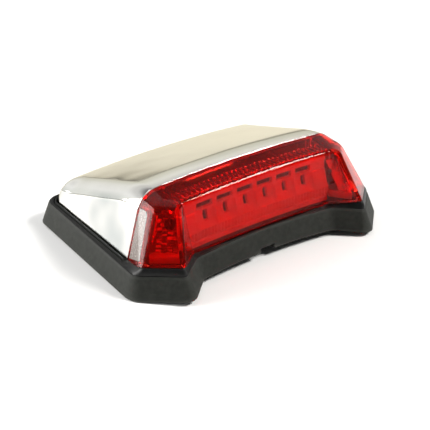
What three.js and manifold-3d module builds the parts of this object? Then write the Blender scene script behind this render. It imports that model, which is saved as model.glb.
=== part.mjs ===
// LED tail light for a motorcycle fender: rubber base, chromed housing, red lens and the lamp inside.
// Millimetres, +Z up. X is the width, -Y is the side that the lens faces.
// Pieces are laid out flat, with y = 0 at the tips of the front feet, and then raised along one
// shallow arch across the width, so that the underside fits a fender's crown.

import * as THREE from 'three';
import { ConvexGeometry } from 'three/addons/geometries/ConvexGeometry.js';
import { mergeVertices } from 'three/addons/utils/BufferGeometryUtils.js';
import Module from 'manifold-3d';

const wasm = await Module();
wasm.setup();

// ---------------------------------------------------------------- driving dimensions
const LENGTH = 105; // overall, front feet to back
const ARCH_HALF_SPAN = 69.85; // half width at which the arch comes down to z = 0
const ARCH_RISE = 3.9; // height of the arch at the middle
const GAP = 0.3; // clearance between neighbouring pieces
const BEND_STEP = 23; // widest reach along X of an edge before a piece is raised along the arch
const ARC_STEPS = 4; // segments in a rounded corner
const WELD = 1e-4; // corners closer than this are one corner
const SLIVER = 0.02; // edges shorter than this are merged away in a finished piece
const BEYOND = 80; // half width of a cutter that reaches past the whole light
const BEHIND = 120; // y past the back of the light
const DEEP = -5; // height below everything
const ABOVE = 60; // height above everything

const RIM_HEIGHT = 10; // top of the rubber wall
const RIM_LIP = 0.4; // height of the lip that closes on the housing, above the rim
const GROOVE_WIDTH = 0.9; // of the groove outside that lip
const LIP_WIDTH = 0.8;
const FLOOR_THICKNESS = 2.5; // rubber floor
const SHOULDER_HEIGHT = 13.4; // top of the raised rubber at the feet
const DRAIN_HALF_WIDTH = 4;
const DRAIN_DEPTH = [8, 16]; // from the front, through the wall
const DRAIN_HEIGHT = 2;

const PLATE_INSET = 1.2; // of the back plate in its recess
const PLATE_THICKNESS = 2;
const UPSTAND_INSET = [5, 6.5]; // outer and inner face of the plate's stiffening wall
const UPSTAND_TOP = 9.5;
const BOSS_RADIUS = 6.5;
const BOSS_BOTTOM = 0.4;
const BOSS_TOP = 12;

const SKIN = 2; // wall of the chromed housing
const LENS_SKIN = 2.2; // wall of the lens
const LENS_FOOT = 9; // height at which the lens outline is measured
const TONGUE_THICKNESS = 1.7; // of the lens tongue inside the housing, and of its seal
const TONGUE_BOTTOM = 13; // lower ends of the lens tongue and of its seal
const TONGUE_REACH = 4; // behind the back edge of the lens
const TONGUE_ROOT = 2; // overlap of the tongue with the lens wall
const SEAL_WIDTH = 1.8;
const HOUSING_FRONT = 34; // where the housing meets the lens
const HOUSING_BACK = 100.6;
const HOUSING_BOTTOM = 5.4;
const HOUSING_HALF_WIDTH = 61; // at the lens, at the height where the side starts to lean
const SIDE_START = 9.5; // height at which the side starts to lean inwards
const SIDE_LEAN = 0.28; // inward lean per mm of height
const SIDE_TAPER = 0.0535; // inward taper per mm towards the back
const TOP_AT_LENS = 38.4; // height of the top at the lens
const TOP_SLOPE = 0.31; // fall of the top per mm towards the back
const TOP_FILLET = 10;
const BACK_CORNER = 5; // plan radius of the back corners
const BACK_CREST = 7; // length over which the top rolls down at the back
const SECTIONS = [50, 66, 80, 88]; // distances from the front of the sections between front and back corner
const CORNER_SECTIONS = 6;
const FILLET_STEPS = 4;
const CREST_END = 0.02; // share of the height that is left at the very back

const RIB_PITCH = 2.7; // comb ribs under the top of the lens
const RIB_HALF_SPAN = 40.5;
const RIB_HALF_WIDTH = 0.5;
const WINDOW_REACH = [44, 75]; // distances from the middle between which a window is cut

const LED_PITCH = 11;
const LED_COUNT = 6;
const LED_HEIGHT = 28.6;
const LED_SIZE = [3.4, 2.8]; // width and height
const LED_FACE = 27.6; // distance of its front from the front of the light
const CUP_RADII = [4.4, 2.6]; // mouth and bottom
const CUP_DEPTH = 7;
const CUP_MIDDLE = 25.4;
const FIN_THICKNESS = 1;
const REFLECTOR_HALF_WIDTH = 35.5;
const END_LED = [47, 22]; // distance from the middle, and height, of the lamp in each end
const END_LED_SIZE = [3.2, 2.6];
const END_LED_HOLE = 2.5; // radius
const BOARD_FRONT = 29;
const BOARD_THICKNESS = 1.6;
const BOARD_HALF_WIDTH = 40;
const BOARD_SPAN = [12, 32]; // lower and upper edge
const BOARD_SCREW = [38, 16]; // distance from the middle, and height

const INSERT_SPACING = 50; // between the two mounting inserts
const INSERT_Y = 57.5;
const INSERT_RADIUS = 3.5;
const INSERT_BORE = 2.1; // radius of the hole for an M5 thread
const INSERT_TOP = 10;
const INSERT_BOTTOM = 0.2;
const SCREW_PLACES = [[-46, 44], [46, 44], [-42, 86], [42, 86]];
const SCREW_PILOT = 1.6; // radius
const SCREW_BOSS = 3.4; // radius
const FLOOR_ACCESS = 7; // radius of the openings in the rubber below inserts and grommet
const GROMMET_PLACE = [0, 76];
const VENT_PLACE = [24, 80];
const ROUND = 24; // sides of the larger round pieces

// ---------------------------------------------------------------- materials
const material = (color, roughness, metalness, opacity = 1) =>
  new THREE.MeshStandardMaterial({ color, roughness, metalness, opacity, transparent: opacity < 1 });
const RUBBER = material(0x33342f, 0.75, 0);
const CHROME = material(0xd9d6c8, 0.06, 1);
const RED_LENS = material(0xc01018, 0.08, 0, 0.55);
const CLEAR_LENS = material(0xf2e6e2, 0.2, 0, 0.6);
const BLACK_PLASTIC = material(0x1b1b1c, 0.55, 0);
const SILVERED = material(0xc8c8c8, 0.15, 0.9);
const BOARD = material(0x1f5b34, 0.5, 0);
const LED_BODY = material(0xf4f0e0, 0.4, 0);
const STEEL = material(0x9a9ca0, 0.35, 1);
const BRASS = material(0xb58b3c, 0.35, 1);
const SOFT_SEAL = material(0x202020, 0.85, 0);
const RESISTOR = material(0x101114, 0.5, 0);

// ---------------------------------------------------------------- solids
function solidOf(geometry) {
  const bare = geometry.clone();
  bare.deleteAttribute('normal');
  bare.deleteAttribute('uv');
  const merged = mergeVertices(bare, WELD);
  const mesh = new wasm.Mesh({
    numProp: 3,
    vertProperties: new Float32Array(merged.attributes.position.array),
    triVerts: new Uint32Array(merged.index.array),
  });
  return new wasm.Manifold(mesh);
}

function geometryOf(solid) {
  const mesh = solid.simplify(SLIVER).getMesh();
  const geometry = new THREE.BufferGeometry();
  geometry.setAttribute('position', new THREE.BufferAttribute(new Float32Array(mesh.vertProperties), 3));
  geometry.setIndex(new THREE.BufferAttribute(new Uint32Array(mesh.triVerts), 1));
  return geometry;
}

// A closed outline with rounded corners from [x, y, radius]; radius 0 keeps the point as it is.
function roundedOutline(corners) {
  const points = [];
  corners.forEach(([x, y, radius], i) => {
    const corner = new THREE.Vector2(x, y);
    if (radius === 0) {
      points.push(corner);
      return;
    }
    const before = corners[(i + corners.length - 1) % corners.length];
    const after = corners[(i + 1) % corners.length];
    const back = new THREE.Vector2(before[0], before[1]).sub(corner).normalize();
    const ahead = new THREE.Vector2(after[0], after[1]).sub(corner).normalize();
    const half = Math.acos(back.dot(ahead)) / 2;
    const centre = back.clone().add(ahead).normalize().multiplyScalar(radius / Math.sin(half)).add(corner);
    const start = corner.clone().addScaledVector(back, radius / Math.tan(half)).sub(centre).angle();
    const end = corner.clone().addScaledVector(ahead, radius / Math.tan(half)).sub(centre).angle();
    const turn = Math.atan2(Math.sin(end - start), Math.cos(end - start));
    for (let k = 0; k <= ARC_STEPS; k += 1) {
      const angle = start + (turn * k) / ARC_STEPS;
      points.push(new THREE.Vector2(Math.cos(angle), Math.sin(angle)).multiplyScalar(radius).add(centre));
    }
  });
  return points;
}

// Corners of the right half, from the front centre to the back centre, mirrored to a whole outline.
function mirrored(half) {
  const inner = half.filter(([x]) => x !== 0).map(([x, y, radius]) => [-x, y, radius]);
  return roundedOutline([...half, ...inner.reverse()]);
}

// A closed solid through outlines of equal point counts, each at its own height.
function loft(layers) {
  const count = layers[0].outline.length;
  const positions = layers.flatMap(({ outline, z }) => outline.flatMap((p) => [p.x, p.y, z]));
  const index = [];
  for (let layer = 0; layer + 1 < layers.length; layer += 1) {
    for (let i = 0; i < count; i += 1) {
      const a = layer * count + i;
      const b = layer * count + ((i + 1) % count);
      index.push(a, b, b + count, a, b + count, a + count);
    }
  }
  const top = (layers.length - 1) * count;
  THREE.ShapeUtils.triangulateShape(layers[0].outline, []).forEach(([a, b, c]) => index.push(c, b, a));
  THREE.ShapeUtils.triangulateShape(layers.at(-1).outline, []).forEach(([a, b, c]) => {
    index.push(top + a, top + b, top + c);
  });
  const geometry = new THREE.BufferGeometry();
  geometry.setAttribute('position', new THREE.Float32BufferAttribute(positions, 3));
  geometry.setIndex(index);
  return solidOf(geometry);
}

const prism = (outline, low, high) => loft([{ outline, z: low }, { outline, z: high }]);

// A prism along X from a profile of [y, z] corners.
function barAlongX(profile, low, high) {
  const shape = new THREE.Shape(profile.map(([y, z]) => new THREE.Vector2(y, z)));
  const geometry = new THREE.ExtrudeGeometry(shape, { depth: high - low, bevelEnabled: false });
  geometry.applyMatrix4(new THREE.Matrix4().makeBasis(
    new THREE.Vector3(0, 1, 0),
    new THREE.Vector3(0, 0, 1),
    new THREE.Vector3(1, 0, 0),
  ));
  geometry.translate(low, 0, 0);
  return solidOf(geometry);
}

function box(low, high) {
  const size = high.map((value, i) => value - low[i]);
  const geometry = new THREE.BoxGeometry(...size);
  geometry.translate(...low.map((value, i) => value + size[i] / 2));
  return solidOf(geometry);
}

function upright(radius, x, y, low, high, topRadius = radius, sides = 16) {
  const geometry = new THREE.CylinderGeometry(topRadius, radius, high - low, sides);
  geometry.rotateX(Math.PI / 2);
  geometry.translate(x, y, (low + high) / 2);
  return solidOf(geometry);
}

const hull = (points) => solidOf(new ConvexGeometry(points.map((p) => new THREE.Vector3(...p))));
const bothSides = (points) => [...points, ...points.map(([x, y, z]) => [-x, y, z])];
const addAll = (first, rest) => rest.reduce((whole, solid) => whole.add(solid), first);
const cutAll = (first, rest) => rest.reduce((whole, solid) => whole.subtract(solid), first);

// ---------------------------------------------------------------- placing pieces
const tailLight = new THREE.Group();
const archAt = (x) => ARCH_RISE * (1 - (x / ARCH_HALF_SPAN) ** 2);

// Halves the widest edge of a triangle until none reaches further along X than BEND_STEP.
function splitAcross(triangle, out) {
  const reach = triangle.map((p, i) => Math.abs(p.x - triangle[(i + 1) % 3].x));
  const widest = reach.indexOf(Math.max(...reach));
  if (reach[widest] <= BEND_STEP) {
    out.push(...triangle);
    return;
  }
  const [a, b, c] = [0, 1, 2].map((k) => triangle[(widest + k) % 3]);
  const middle = a.clone().add(b).multiplyScalar(0.5);
  splitAcross([a, middle, c], out);
  splitAcross([middle, b, c], out);
}

// A moulded piece follows the arch along its whole width.
function addArched(name, solid, look) {
  const loose = geometryOf(solid).toNonIndexed().attributes.position;
  const points = [];
  for (let i = 0; i < loose.count; i += 3) {
    splitAcross([0, 1, 2].map((k) => new THREE.Vector3().fromBufferAttribute(loose, i + k)), points);
  }
  const raised = points.map((p) => new THREE.Vector3(p.x, p.y - LENGTH / 2, p.z + archAt(p.x)));
  const bent = mergeVertices(new THREE.BufferGeometry().setFromPoints(raised), WELD);
  const mesh = new THREE.Mesh(bent, look);
  mesh.name = name;
  tailLight.add(mesh);
}

// A small stiff piece is lifted whole to the arch's height where it sits.
function addLifted(name, solid, look, x) {
  const mesh = new THREE.Mesh(geometryOf(solid), look);
  mesh.name = name;
  mesh.position.set(0, -LENGTH / 2, archAt(x));
  tailLight.add(mesh);
}

// ---------------------------------------------------------------- outer forms
// The housing's outer form, or a smaller one inside it for a positive inset.
function housingForm(inset, front, bottom) {
  const back = HOUSING_BACK - inset;
  const corner = BACK_CORNER - inset;
  const crest = BACK_CREST - inset / 2;
  const points = [];
  const stations = [front, ...SECTIONS, back - crest];
  for (let k = 0; k <= CORNER_SECTIONS; k += 1) {
    stations.push(back - corner + corner * Math.sin((k * Math.PI) / (2 * CORNER_SECTIONS)));
  }
  stations.forEach((y) => {
    const past = Math.max(0, y - (back - corner));
    const pinch = corner - Math.sqrt(Math.max(0, corner ** 2 - past ** 2));
    const base = HOUSING_HALF_WIDTH - inset - SIDE_TAPER * (y - HOUSING_FRONT) - pinch;
    const roll = Math.max(0, y - (back - crest)) / crest;
    const slope = TOP_AT_LENS - inset - TOP_SLOPE * (y - HOUSING_FRONT) - SIDE_START;
    const rise = slope * Math.sqrt(Math.max(CREST_END ** 2, 1 - roll ** 2));
    points.push([base, y, bottom], [base, y, SIDE_START]);
    const fillet = Math.min(TOP_FILLET - inset, 0.75 * rise);
    const lean = Math.atan(SIDE_LEAN);
    const reach = fillet * Math.tan((Math.PI / 2 - lean) / 2);
    const centreX = base - SIDE_LEAN * rise - reach;
    for (let k = 0; k <= FILLET_STEPS; k += 1) {
      const angle = lean + ((Math.PI / 2 - lean) * k) / FILLET_STEPS;
      const x = centreX + fillet * Math.cos(angle);
      points.push([x, y, SIDE_START + rise - fillet + fillet * Math.sin(angle)]);
    }
  });
  return hull(bothSides(points));
}

// Corners of the lens, each moved inwards by about the inset.
function lensForm(inset, back, bottom) {
  const drop = LENS_FOOT - bottom;
  const ridge = [44.4 - 0.75 * inset, 17.95 + inset, 36.8 - inset];
  const topSide = [52.6 - 0.85 * inset, 26.2 + 0.3 * inset, 37.4 - inset];
  const topBack = [52.9 - inset, back, TOP_AT_LENS - inset];
  const frontFoot = [37.3 - 0.5 * inset, 17.2 + inset, bottom];
  const toe = [51.1 + 0.24 * drop, 4.2 + 1.45 * inset - 0.5 * drop, bottom];
  const heel = [65.2 - 1.25 * inset + 0.44 * drop, 17.6 + 0.4 * inset - 0.32 * drop, bottom];
  const sideBack = [HOUSING_HALF_WIDTH - inset + SIDE_LEAN * Math.max(0, drop), back, bottom];
  const body = hull(bothSides([ridge, topSide, topBack, frontFoot, heel, sideBack]));
  const right = [ridge, frontFoot, toe, heel];
  const left = right.map(([x, y, z]) => [-x, y, z]);
  return addAll(body, [hull(right), hull(left)]);
}

// The raised rubber at the feet ends below this form; the lens stands on it.
function shoulderForm(lift) {
  const side = (sign) => {
    const top = SHOULDER_HEIGHT + lift;
    const points = [
      [30, -2, 4], [75, -2, 4], [75, 36, 4], [30, 36, 4],
      [50, -2, top], [75, -2, top], [75, 19.3, top], [50, 19.3, top],
      [36.4, -2, 10.2 + lift], [36.4, 19.3, 10.2 + lift],
      [50, 34, 9.3 + lift], [75, 34, 9.3 + lift], [36.4, 34, 7 + lift],
    ];
    return hull(points.map(([x, y, z]) => [sign * x, y, z]));
  };
  return side(1).add(side(-1));
}

// ---------------------------------------------------------------- outlines of the base
const BASE_BOTTOM = mirrored([
  [0, 12.6, 0], [18.5, 12.1, 0], [36.5, 10.8, 6], [50, -1.1, 3], [70, 18.6, 5], [64.2, LENGTH, 6], [0, LENGTH, 0],
]);
const BASE_TOP = mirrored([
  [0, 15.1, 0], [18.7, 14.7, 0], [37.8, 13.7, 6], [50.2, 4.2, 2.5], [66.6, 20.8, 4.5], [60.8, 103.4, 6], [0, 103.4, 0],
]);

// The recess for the back plate, or an outline inside it.
const recess = (inset) => mirrored([
  [0, 18.3 + inset, 0],
  [19, 18.1 + inset, 0],
  [39 - 0.4 * inset, 17.3 + inset, 3],
  [50 - 0.1 * inset, 9.2 + 1.4 * inset, 1.5],
  [62.9 - inset, 20.8 + 0.4 * inset, 3],
  [58.9 - inset, 101.9 - inset, Math.max(2, 4.5 - inset)],
  [0, 101.9 - inset, 0],
]);

// ---------------------------------------------------------------- base and back plate
function baseGasket() {
  const wall = loft([{ outline: BASE_BOTTOM, z: 0 }, { outline: BASE_TOP, z: RIM_HEIGHT }]);
  const shoulders = shoulderForm(0)
    .intersect(lensForm(0, HOUSING_FRONT, 4))
    .intersect(prism(BASE_TOP, RIM_HEIGHT - 1, ABOVE));
  const besideHousing = box([-BEYOND, HOUSING_FRONT + 1, 0], [BEYOND, BEHIND, ABOVE]);
  const lip = prism(recess(0), RIM_HEIGHT - 3, RIM_HEIGHT + RIM_LIP).intersect(besideHousing);
  const groove = prism(recess(-GROOVE_WIDTH), RIM_HEIGHT - 1, ABOVE).intersect(besideHousing);
  const openings = [prism(recess(LIP_WIDTH), FLOOR_THICKNESS, ABOVE)];
  const throughFloor = (radius, x, y, sides) => upright(radius, x, y, -1, 2 * FLOOR_THICKNESS, radius, sides);
  SCREW_PLACES.forEach(([x, y]) => openings.push(throughFloor(4, x, y, 16)));
  [-1, 1].forEach((side) => {
    openings.push(throughFloor(FLOOR_ACCESS, (side * INSERT_SPACING) / 2, INSERT_Y, ROUND));
  });
  openings.push(throughFloor(FLOOR_ACCESS, ...GROMMET_PLACE, ROUND));
  openings.push(throughFloor(4.2, ...VENT_PLACE, 16));
  openings.push(box([-DRAIN_HALF_WIDTH, DRAIN_DEPTH[0], -1], [DRAIN_HALF_WIDTH, DRAIN_DEPTH[1], DRAIN_HEIGHT]));
  addArched('base_gasket', cutAll(wall.add(shoulders).subtract(groove).add(lip), openings), RUBBER);
}

function backPlate() {
  const low = FLOOR_THICKNESS + GAP;
  const plate = prism(recess(PLATE_INSET), low, low + PLATE_THICKNESS);
  const upstand = prism(recess(UPSTAND_INSET[0]), low + 1, UPSTAND_TOP)
    .subtract(prism(recess(UPSTAND_INSET[1]), low, ABOVE));
  const bosses = [-1, 1].map((side) => (
    upright(BOSS_RADIUS, (side * INSERT_SPACING) / 2, INSERT_Y, BOSS_BOTTOM, BOSS_TOP, BOSS_RADIUS, ROUND)
  ));
  const openings = SCREW_PLACES.map(([x, y]) => upright(1.9, x, y, 0, 8));
  [-1, 1].forEach((side) => {
    const x = (side * INSERT_SPACING) / 2;
    openings.push(upright(INSERT_RADIUS + GAP, x, INSERT_Y, -2, INSERT_TOP + 0.5));
  });
  openings.push(upright(5.2, ...GROMMET_PLACE, 0, 8, 5.2, ROUND));
  openings.push(upright(2.4, ...VENT_PLACE, 0, 8));
  addArched('back_plate', cutAll(addAll(plate.add(upstand), bosses), openings), BLACK_PLASTIC);
}

// ---------------------------------------------------------------- housing, lens and windows
function chromeHousing() {
  const shell = housingForm(0, HOUSING_FRONT, HOUSING_BOTTOM).subtract(housingForm(SKIN, 20, DEEP));
  const filled = housingForm(SKIN / 4, HOUSING_FRONT + SKIN / 4, HOUSING_BOTTOM);
  const bosses = SCREW_PLACES.map(([x, y]) => (
    upright(SCREW_BOSS, x, y, HOUSING_BOTTOM, ABOVE).intersect(filled)
  ));
  const pilots = SCREW_PLACES.map(([x, y]) => upright(SCREW_PILOT, x, y, 0, 14));
  addArched('chrome_housing', cutAll(addAll(shell, bosses), pilots), CHROME);
}

const WINDOW_PROFILE = [[32.3, 11.3], [32.3, 32.6], [28.2, 32.6], [24.2, 15.1]];
const WINDOW_MIDDLE = [29.5, 23.5];

function windowBar(sign, shrink) {
  const profile = WINDOW_PROFILE.map(([y, z]) => {
    const away = [y - WINDOW_MIDDLE[0], z - WINDOW_MIDDLE[1]];
    return [y - Math.sign(away[0]) * shrink, z - Math.sign(away[1]) * shrink];
  });
  const [near, far] = WINDOW_REACH;
  return sign > 0 ? barAlongX(profile, near, far) : barAlongX(profile, -far, -near);
}

// A band that lines the housing's inside between two distances from the front.
function insideHousing(front, back) {
  return housingForm(SKIN + GAP, front, 0)
    .subtract(housingForm(SKIN + GAP + TONGUE_THICKNESS, 20, DEEP))
    .intersect(box([-BEYOND, front, TONGUE_BOTTOM], [BEYOND, back, ABOVE]));
}

function redLens() {
  const back = HOUSING_FRONT - GAP;
  const skin = lensForm(0, back, LENS_FOOT).subtract(lensForm(LENS_SKIN, back + TONGUE_REACH, 2));
  const tongue = insideHousing(back - TONGUE_ROOT, back + TONGUE_REACH);
  const ribs = [];
  const ribCount = Math.round((2 * RIB_HALF_SPAN) / RIB_PITCH);
  for (let i = 0; i <= ribCount; i += 1) {
    const x = i * RIB_PITCH - RIB_HALF_SPAN;
    ribs.push(box([x - RIB_HALF_WIDTH, 19.5, 33.4], [x + RIB_HALF_WIDTH, 25, 35]));
  }
  const cuts = [
    shoulderForm(GAP),
    box([-BEYOND, DEEP, 0], [BEYOND, ABOVE, RIM_HEIGHT + GAP]),
    windowBar(1, 0),
    windowBar(-1, 0),
  ];
  addArched('red_lens', cutAll(addAll(skin.add(tongue), ribs), cuts), RED_LENS);
}

function clearWindows() {
  [['left', -1], ['right', 1]].forEach(([name, sign]) => {
    const pane = lensForm(0, HOUSING_FRONT - GAP, LENS_FOOT)
      .subtract(lensForm(LENS_SKIN, HOUSING_FRONT + TONGUE_REACH, 2))
      .intersect(windowBar(sign, GAP));
    addArched(`${name}_clear_window`, pane, CLEAR_LENS);
  });
}

function lensSeal() {
  const front = HOUSING_FRONT + TONGUE_REACH;
  addArched('lens_seal', insideHousing(front, front + SEAL_WIDTH), SOFT_SEAL);
}

// ---------------------------------------------------------------- lamp
const ledPlaces = Array.from({ length: LED_COUNT }, (_, i) => (i - (LED_COUNT - 1) / 2) * LED_PITCH);

function cupAt(x) {
  const geometry = new THREE.CylinderGeometry(...CUP_RADII, CUP_DEPTH, 12);
  geometry.rotateX(Math.PI);
  geometry.translate(x, CUP_MIDDLE, LED_HEIGHT);
  return solidOf(geometry);
}

function mainReflector() {
  const profile = [[22, 12], [28.6, 12], [28.6, 33], [22.4, 33], [22.4, 23.5], [26, 22], [26, 14]];
  const body = barAlongX(profile, -REFLECTOR_HALF_WIDTH, REFLECTOR_HALF_WIDTH);
  const fins = [];
  for (let i = 0; i <= LED_COUNT; i += 1) {
    const x = (i - LED_COUNT / 2) * LED_PITCH;
    fins.push(box([x - FIN_THICKNESS / 2, 22.2, 13.5], [x + FIN_THICKNESS / 2, 26.5, 24]));
  }
  const cups = ledPlaces.map((x) => cupAt(x));
  addArched('main_reflector', cutAll(addAll(body, fins), cups), SILVERED);
}

function leds() {
  const [width, height] = LED_SIZE;
  ledPlaces.forEach((x, i) => {
    const low = [x - width / 2, LED_FACE, LED_HEIGHT - height / 2];
    const body = box(low, [x + width / 2, BOARD_FRONT - GAP, LED_HEIGHT + height / 2]);
    addLifted(`led_${i + 1}`, body, LED_BODY, x);
  });
}

function circuitBoard() {
  const board = box(
    [-BOARD_HALF_WIDTH, BOARD_FRONT, BOARD_SPAN[0]],
    [BOARD_HALF_WIDTH, BOARD_FRONT + BOARD_THICKNESS, BOARD_SPAN[1]],
  );
  const [reach, height] = BOARD_SCREW;
  const holes = [-reach, reach].map((x) => {
    const geometry = new THREE.CylinderGeometry(1.4, 1.4, 6, 12);
    geometry.translate(x, BOARD_FRONT + 1, height);
    return solidOf(geometry);
  });
  addLifted('circuit_board', cutAll(board, holes), BOARD, 0);
}

function boardParts() {
  const face = BOARD_FRONT + BOARD_THICKNESS + GAP;
  [-24, -12, 12, 24].forEach((x, i) => {
    addLifted(`resistor_${i + 1}`, box([x - 3.2, face, 20], [x + 3.2, face + 1.2, 23.2]), RESISTOR, 0);
  });
  addLifted('polarity_diode', box([-2.6, face, 24.5], [2.6, face + 2.2, 28]), RESISTOR, 0);
  ['left', 'right'].forEach((name, i) => {
    const x = i === 0 ? -BOARD_SCREW[0] : BOARD_SCREW[0];
    const head = new THREE.CylinderGeometry(2.4, 2.4, 1.8, 12);
    head.translate(x, face + 0.9, BOARD_SCREW[1]);
    const shank = new THREE.CylinderGeometry(1.1, 1.1, 5, 12);
    shank.translate(x, face - 1.6, BOARD_SCREW[1]);
    addLifted(`${name}_board_screw`, solidOf(head).add(solidOf(shank)), STEEL, 0);
  });
}

function endLamps() {
  [['left', -1], ['right', 1]].forEach(([name, sign]) => {
    const mirror = (points) => points.map(([x, y, z]) => [sign * x, y, z]);
    const across = (near, far) => [Math.min(sign * near, sign * far), Math.max(sign * near, sign * far)];
    const sideBox = ([near, far], [front, back], [low, high]) => {
      const [left, right] = across(near, far);
      return box([left, front, low], [right, back, high]);
    };
    const bowl = hull(mirror([
      [40.5, 22, 12.6], [49.2, 15, 14.6], [50.4, 16, 14.6], [41, 26.4, 12.6],
      [40.5, 22, 31], [43, 22.4, 31.2], [44.4, 26.4, 32], [41, 26.4, 32],
      [54.5, 22, 14.8], [53, 26.4, 14.6],
    ]));
    const hollow = hull(mirror([
      [43.5, 20.6, 15.8], [50, 12, 15.8], [58, 18, 15.8], [43.5, 19, 30], [47.5, 23.6, 29.5],
      [44.5, 24.6, 15.8], [52, 24.2, 15.8], [44.5, 24, 29.5], [55, 18, 30],
    ]));
    const ledHole = new THREE.CylinderGeometry(END_LED_HOLE, END_LED_HOLE, 12, 14);
    ledHole.translate(sign * END_LED[0], 24, END_LED[1]);
    addArched(`${name}_end_reflector`, cutAll(bowl, [hollow, solidOf(ledHole)]), SILVERED);
    addLifted(`${name}_side_board`, sideBox([43, 52], [26.9, 28.1], [16, 29]), BOARD, sign * END_LED[0]);
    const [x, z] = END_LED;
    const [width, height] = END_LED_SIZE;
    const led = sideBox([x - width / 2, x + width / 2], [25, 26.6], [z - height / 2, z + height / 2]);
    addLifted(`${name}_end_led`, led, LED_BODY, sign * x);
    const whiteLed = sideBox([52.3, 53.4], [26.2, 29], [19, 22.2]);
    addLifted(`${name}_window_led`, whiteLed, LED_BODY, sign * END_LED[0]);
  });
}

// ---------------------------------------------------------------- fastenings and inlet
function fastenings() {
  SCREW_PLACES.forEach(([x, y], i) => {
    const screw = upright(3.2, x, y, 0.9, 2.5).add(upright(1.3, x, y, 2.2, 12));
    addLifted(`housing_screw_${i + 1}`, screw, STEEL, x);
  });
  ['left', 'right'].forEach((name, i) => {
    const x = (i === 0 ? -1 : 1) * (INSERT_SPACING / 2);
    const body = upright(INSERT_RADIUS, x, INSERT_Y, INSERT_BOTTOM, INSERT_TOP, INSERT_RADIUS, ROUND);
    const bore = upright(INSERT_BORE, x, INSERT_Y, -1, INSERT_TOP - 1, INSERT_BORE, ROUND);
    const insert = body.subtract(bore);
    addLifted(`${name}_threaded_insert`, insert, BRASS, x);
  });
}

function inletAndVent() {
  const [x, y] = GROMMET_PLACE;
  const grommet = addAll(upright(6.5, x, y, 0.6, 2.5, 6.5, ROUND), [
    upright(4.9, x, y, 2, 5.5, 4.9, ROUND),
    upright(6.5, x, y, 5.2, 7, 5.6, ROUND),
  ]).subtract(upright(2.6, x, y, 0, 8, 2.6, ROUND));
  addLifted('cable_grommet', grommet, SOFT_SEAL, x);
  const vent = upright(3.6, ...VENT_PLACE, 0.9, 2.4).add(upright(2.1, ...VENT_PLACE, 2, 6));
  addLifted('vent_plug', vent, SOFT_SEAL, VENT_PLACE[0]);
}

baseGasket();
backPlate();
chromeHousing();
redLens();
clearWindows();
lensSeal();
mainReflector();
leds();
circuitBoard();
boardParts();
fastenings();
endLamps();
inletAndVent();

export default tailLight;
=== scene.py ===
import math

import bmesh
import bpy
import numpy as np
from mathutils import Matrix, Vector


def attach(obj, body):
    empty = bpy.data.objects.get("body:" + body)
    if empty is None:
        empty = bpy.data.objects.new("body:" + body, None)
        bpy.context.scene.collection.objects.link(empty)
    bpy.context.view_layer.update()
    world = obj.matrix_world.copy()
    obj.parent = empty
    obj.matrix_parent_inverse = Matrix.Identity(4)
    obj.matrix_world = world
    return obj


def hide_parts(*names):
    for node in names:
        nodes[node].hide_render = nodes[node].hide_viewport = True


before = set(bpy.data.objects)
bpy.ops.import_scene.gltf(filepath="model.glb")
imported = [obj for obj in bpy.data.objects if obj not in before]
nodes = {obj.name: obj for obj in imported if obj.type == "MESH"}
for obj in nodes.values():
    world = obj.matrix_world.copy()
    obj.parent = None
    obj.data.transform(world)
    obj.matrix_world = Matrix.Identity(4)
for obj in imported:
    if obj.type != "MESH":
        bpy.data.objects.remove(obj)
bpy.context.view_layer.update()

MM = 0.001
LENGTH = 105.0
ARCH_HALF_SPAN = 69.85
ARCH_RISE = 3.9

# rubber base
RIM_HEIGHT = 10.0
SHOULDER_TOP = 13.4  # of the raised rubber round each foot of the lens
NOTCH_SHOULDER = 10.3  # where that rubber meets the low rim between the feet
FLOOR_TOP = 2.5

# chromed housing
HOUSING_FRONT = 34.0
HOUSING_BACK = 100.6
HOUSING_BOTTOM = 5.4
HOUSING_HALF_WIDTH = 61.0
SIDE_START = 9.5
SIDE_LEAN = 0.28
SIDE_TAPER = 0.0535
TOP_AT_CREST = 20.75
TOP_SLOPE = 0.327
ROLL_START = 48.0
ROLL_RADIUS = 54.0
TOP_FILLET = 10.0
BACK_CORNER = 5.0
BACK_CREST = 7.0
SKIN = 2.0
SCREW_PLACES = ((-46, 44), (46, 44), (-42, 86), (42, 86))
INSERT_PLACES = ((-25, 57.5), (25, 57.5))
GROMMET_PLACE = (0, 76)
VENT_PLACE = (24, 80)

# lens and lamp
LENS_FOOT = 9.0
LENS_SKIN = 2.2
LENS_BACK = 33.7
RIDGE = Vector((44.9, 17.95, 36.8))  # corner where top, front and foot meet
CREST = (52.9, 26.0, 37.55)  # corner where top, foot and side meet
RIDGE_BEND = 3.4
RIDGE_WIDTH = 1.8
LED_PITCH = 11.0
LED_COUNT = 6


# ---------------------------------------------------------------- helpers
def arch(x):
    return ARCH_RISE * (1 - (x / ARCH_HALF_SPAN) ** 2)


def place(p):
    """A point of the flat layout in the shared frame, in metres."""
    x, y, z = p
    return Vector((x, y - LENGTH / 2, z + arch(x))) * MM


def linked(name, data):
    obj = bpy.data.objects.new(name, data)
    bpy.context.scene.collection.objects.link(obj)
    return obj


def add_object(name, vertices, faces):
    mesh = bpy.data.meshes.new(name)
    mesh.from_pydata(vertices, [], faces)
    mesh.validate()
    return linked(name, mesh)


MERGE_DISTANCE = 2e-6


def tidy_mesh(obj):
    """Merges the points that fall together and turns all faces outwards."""
    bm = bmesh.new()
    bm.from_mesh(obj.data)
    bmesh.ops.remove_doubles(bm, verts=bm.verts, dist=MERGE_DISTANCE)
    bmesh.ops.dissolve_degenerate(bm, edges=bm.edges, dist=MERGE_DISTANCE)
    bmesh.ops.recalc_face_normals(bm, faces=bm.faces)
    bm.to_mesh(obj.data)
    bm.free()
    return obj


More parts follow.
